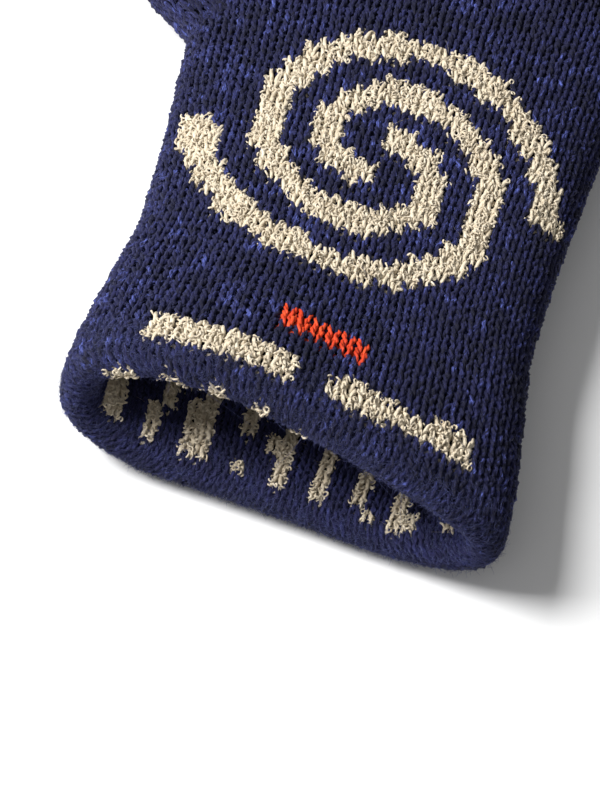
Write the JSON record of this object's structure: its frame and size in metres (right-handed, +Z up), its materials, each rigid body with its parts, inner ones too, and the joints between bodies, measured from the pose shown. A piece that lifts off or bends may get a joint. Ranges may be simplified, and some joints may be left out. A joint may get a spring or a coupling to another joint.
{
  "type": "knitted mitten",
  "caption": "Right-hand knitted mitten lying on its palm: open turned-in cuff, plain spiral of natural yarn on the back, thumb laid out to the side.",
  "frame": {"origin": "on the flat underside of the palm, on the hand's centre line and about half way along the mitten's length", "axes": "+Y from the cuff's mouth to the fingertips, +Z up from the palm to the back of the hand, thumb at -X"},
  "size_m": [0.1433, 0.2532, 0.0383],
  "materials": {
    "navy_knit": "brushed wool stocking stitch",
    "facing_knit": "wool knit seen from its back",
    "linking_yarn": "plied wool",
    "natural_boucle": "curly boucle",
    "vermilion_yarn": "smooth plied wool"
  },
  "bodies": {
    "cuff": {"bright_bar": "vermilion_yarn", "cuff_back_facing": "facing_knit", "cuff_back_panel": "navy_knit", "cuff_outer_seam": "linking_yarn", "cuff_palm_facing": "facing_knit", "cuff_palm_panel": "navy_knit", "cuff_spiral_first_arm_1": "natural_boucle", "cuff_spiral_second_arm_1": "natural_boucle", "cuff_thumb_side_seam": "linking_yarn", "hem_stitching": "linking_yarn", "rim_band_outer_side": "natural_boucle", "rim_band_thumb_side": "natural_boucle"},
    "fingers": {"finger_back_panel": "navy_knit", "finger_outer_seam": "linking_yarn", "finger_palm_panel": "navy_knit", "finger_thumb_side_seam": "linking_yarn", "fingertip_linking": "linking_yarn"},
    "hand": {"hand_back_panel": "navy_knit", "hand_outer_seam": "linking_yarn", "hand_palm_panel": "navy_knit", "hand_spiral_first_arm_1": "natural_boucle", "hand_spiral_second_arm_1": "natural_boucle", "hand_thumb_side_seam": "linking_yarn", "knuckle_fold": "navy_knit", "thumb_gusset": "navy_knit", "wrist_fold": "navy_knit", "wrist_thumb_side_seam": "linking_yarn"},
    "thumb": {"thumb_back_panel": "navy_knit", "thumb_inner_seam": "linking_yarn", "thumb_outer_seam": "linking_yarn", "thumb_palm_panel": "navy_knit", "thumb_tip_linking": "linking_yarn"}
  },
  "joints": [
    {"name": "wrist_bend", "type": "hinge", "parent": "hand", "child": "cuff", "pos_m": [0, -0.053, 0.0132], "axis": [-1, 0, 0], "range_deg": [-45, 60], "deforming": ["wrist_fold"]},
    {"name": "knuckle_bend", "type": "hinge", "parent": "hand", "child": "fingers", "pos_m": [0, 0.041, 0.0132], "axis": [1, 0, 0], "range_deg": [-70, 30], "deforming": ["knuckle_fold"]},
    {"name": "thumb_bend", "type": "hinge", "parent": "hand", "child": "thumb", "pos_m": [-0.041, -0.0085, 0.0132], "axis": [0, 1, 0], "range_deg": [-45, 30], "deforming": ["thumb_gusset"]}
  ]
}
